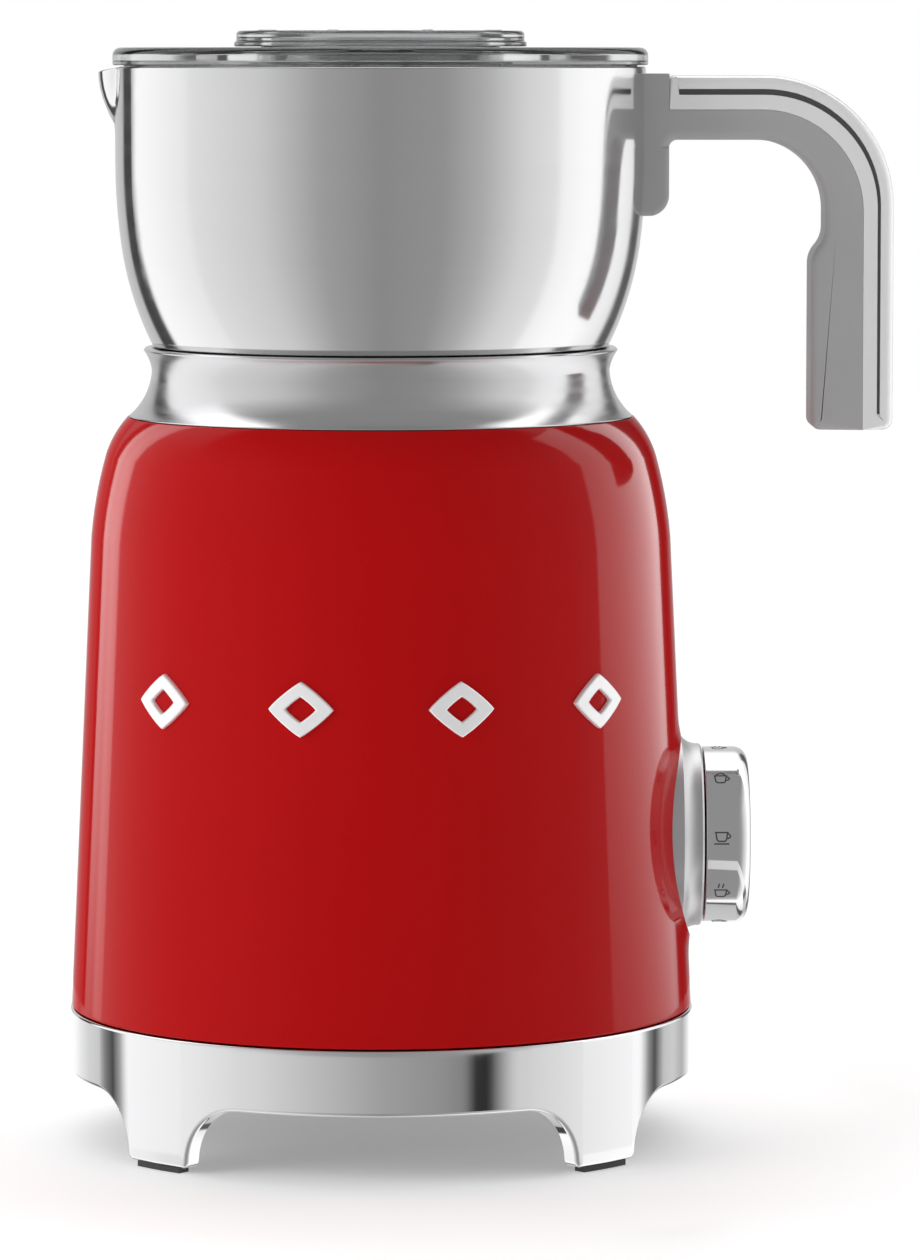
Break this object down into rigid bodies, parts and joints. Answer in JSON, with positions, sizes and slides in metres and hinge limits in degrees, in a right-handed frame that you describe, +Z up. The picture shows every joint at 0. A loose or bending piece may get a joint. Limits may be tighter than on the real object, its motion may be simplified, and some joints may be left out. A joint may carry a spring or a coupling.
{
  "type": "electric milk frother",
  "caption": "Retro electric milk frother: tapered powered base on a footed ring, rotary knob, lift-off steel jug with spout and handle, clear lid and measuring cap.",
  "frame": {"origin": "centre of the plane that the feet rest on, on the upright axis of base and jug", "axes": "+Z up along the upright axis, +X towards the knob and the handle, -X towards the spout, -Y towards the front"},
  "size_m": [0.1786, 0.1372, 0.2404],
  "materials": {
    "red_shell": "deep red high gloss lacquer",
    "chrome": "bright chrome plating",
    "silver_trim": "bright silver metallised moulding",
    "satin_metal": "satin silver",
    "stainless": "polished stainless steel",
    "grey_plastic": "fine satin moulded grey",
    "clear_plastic": "clear moulded copolyester",
    "silicone": "soft translucent grey silicone",
    "black_plastic": "fine spark-eroded black",
    "button_face": "satin silver metallised plastic",
    "light_ring": "frosted light guide",
    "rubber": "matt black rubber",
    "steel": "bright zinc or plain steel",
    "magnet": "nickel plated magnet",
    "copper": "enamelled copper wire",
    "ferrite": "sintered ferrite",
    "aluminium": "extruded aluminium",
    "circuit_board": "green solder mask",
    "bronze": "sintered bronze"
  },
  "bodies": {
    "base": {"foot_ring": "chrome", "foot_pads": "rubber", "bottom_cover": "black_plastic", "bottom_screws": "steel", "chassis": "black_plastic", "body_shell": "red_shell", "neck_collar": "satin_metal", "front_badges": "silver_trim", "cord_grommet": "rubber", "knob_escutcheon": "satin_metal", "knob_guide": "black_plastic", "led_ring": "light_ring", "knob_board": "circuit_board", "knob_encoder": "black_plastic", "tact_switch": "black_plastic", "seat_plate": "black_plastic", "seat_gasket": "silicone", "coil_carrier": "black_plastic", "carrier_screws": "steel", "ferrite_bars": "ferrite", "induction_coil": "copper", "motor_can": "steel", "motor_bracket": "steel", "motor_isolators": "rubber", "motor_screws": "steel", "sensor_holder": "black_plastic", "sensor_spring": "steel", "fan_frame": "black_plastic", "power_board": "circuit_board", "capacitors": "black_plastic", "choke": "copper", "heat_sink": "aluminium", "board_clips": "steel", "board_screws": "steel"},
    "jug": {"jug_body": "stainless", "jug_base_plate": "steel", "whisk_pin": "stainless", "handle_core": "grey_plastic", "handle_trim": "silver_trim", "handle_bracket": "steel", "handle_screws": "steel"},
    "lid": {"lid_shell": "clear_plastic", "lid_gasket": "silicone"},
    "cap": {"measuring_cap": "clear_plastic", "cap_seal": "silicone"},
    "whisk": {"whisk_disc": "black_plastic", "whisk_magnets": "magnet", "whisk_bush": "bronze", "whisk_ring": "stainless"},
    "drive": {"motor_shaft": "steel", "magnet_carrier": "black_plastic", "rotor_magnets": "magnet"},
    "fan": {"fan_rotor": "black_plastic"},
    "knob": {"knob_ring": "chrome"},
    "button": {"start_button": "button_face"},
    "sensor": {"sensor_plunger": "aluminium"}
  },
  "joints": [
    {"name": "jug_lift", "type": "slide", "parent": "base", "child": "jug", "axis": [0, 0, 1], "range_m": [0, 0.12]},
    {"name": "lid_lift", "type": "slide", "parent": "jug", "child": "lid", "axis": [0, 0, 1], "range_m": [0, 0.06]},
    {"name": "cap_lift", "type": "slide", "parent": "lid", "child": "cap", "axis": [0, 0, 1], "range_m": [0, 0.04]},
    {"name": "drive_spin", "type": "hinge", "parent": "base", "child": "drive", "pos_m": [0, 0, 0.15], "axis": [0, 0, 1], "continuous": true},
    {"name": "whisk_spin", "type": "hinge", "parent": "jug", "child": "whisk", "pos_m": [0, 0, 0.172], "axis": [0, 0, 1], "continuous": true},
    {"name": "fan_spin", "type": "hinge", "parent": "base", "child": "fan", "pos_m": [0, 0, 0.025], "axis": [0, 0, 1], "continuous": true},
    {"name": "knob_turn", "type": "hinge", "parent": "base", "child": "knob", "pos_m": [0.07, 0, 0.0654], "axis": [1, 0, 0], "continuous": true},
    {"name": "button_press", "type": "slide", "parent": "base", "child": "button", "axis": [-1, 0, 0], "range_m": [0, 0.0012], "stiffness_N_per_m": 500, "springref_m": -0.001},
    {"name": "sensor_press", "type": "slide", "parent": "base", "child": "sensor", "axis": [0, 0, -1], "range_m": [0, 0.0015], "stiffness_N_per_m": 300, "springref_m": -0.001, "deforming": ["sensor_spring"]}
  ],
  "couplings": [
    {"joint": "whisk_spin", "follows": "drive_spin", "ratio": 1}
  ]
}
